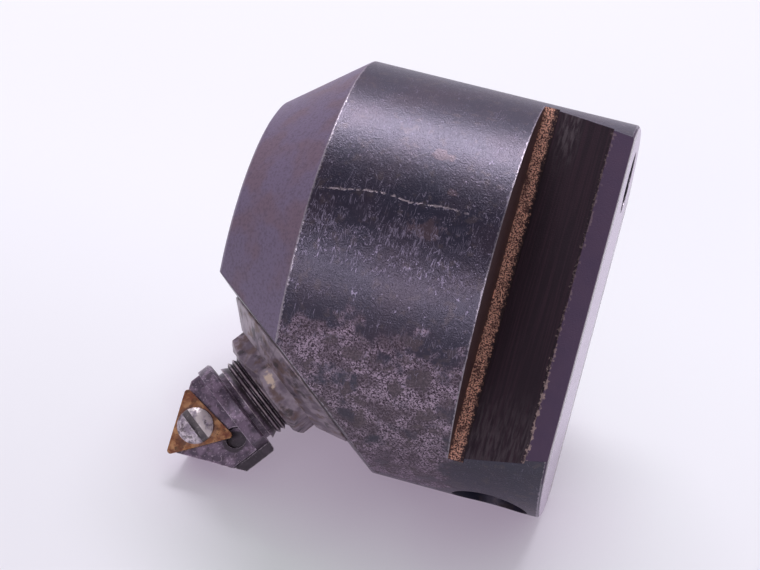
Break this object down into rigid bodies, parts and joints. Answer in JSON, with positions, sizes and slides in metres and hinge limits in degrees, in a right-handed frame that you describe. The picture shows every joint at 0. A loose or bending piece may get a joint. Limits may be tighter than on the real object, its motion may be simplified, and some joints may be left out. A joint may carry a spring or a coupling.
{
  "type": "boring head",
  "caption": "Steel boring head with a dovetail-like tongue, an adjusting screw along it, and a slanted micrometer cartridge with a triangular insert.",
  "frame": {"origin": "centre of the rear face, on the spindle axis", "axes": "+Z along the spindle axis towards the nose, tongue along X, cartridge leaning to -X, rake face towards -Y"},
  "size_m": [0.1002, 0.092, 0.0859],
  "materials": {
    "blackened_steel": "black oxide worn to grey, scratched, with rust in the groove",
    "ground_steel": "ground",
    "black_screw": "black oxide",
    "seal_rubber": "matt",
    "cartridge_steel": "dark hardened steel with bright worn edges",
    "coated_carbide": "gold coating, heat stained",
    "worn_steel": "worn bright with dark stains",
    "dial_steel": "grey steel with bronze staining, worn corners",
    "spring_steel": "blued"
  },
  "bodies": {
    "head": {"head_body": "blackened_steel", "guide_bushing": "ground_steel", "guide_key": "ground_steel", "retaining_screw_1": "black_screw", "retaining_screw_2": "black_screw", "dial_seal": "seal_rubber", "screw_retainer": "black_screw", "disc_spring_1": "spring_steel", "disc_spring_2": "spring_steel", "disc_spring_3": "spring_steel", "disc_spring_4": "spring_steel", "disc_spring_5": "spring_steel", "disc_spring_6": "spring_steel"},
    "tool": {"cartridge": "cartridge_steel", "cutting_insert": "coated_carbide", "insert_screw": "worn_steel", "thrust_washer": "ground_steel", "tail_nut": "black_screw"},
    "dial": {"dial_nut": "dial_steel"},
    "screw": {"adjusting_screw": "black_screw"}
  },
  "joints": [
    {"name": "cartridge_slide", "type": "slide", "parent": "head", "child": "tool", "axis": [-0.8, 0, 0.6], "range_m": [-0.001, 0.0008], "deforming": ["disc_spring_1", "disc_spring_2", "disc_spring_3", "disc_spring_4", "disc_spring_5", "disc_spring_6"]},
    {"name": "dial_turn", "type": "hinge", "parent": "head", "child": "dial", "pos_m": [-0.02792, 0, 0.06329], "axis": [-0.8, 0, 0.6], "range_deg": [-226.78, 283.47]},
    {"name": "screw_turn", "type": "hinge", "parent": "head", "child": "screw", "pos_m": [-0.03, 0, 0.01155], "axis": [1, 0, 0], "continuous": true}
  ],
  "couplings": [
    {"joint": "dial_turn", "follows": "cartridge_slide", "rad_per_m": -4947.4}
  ]
}
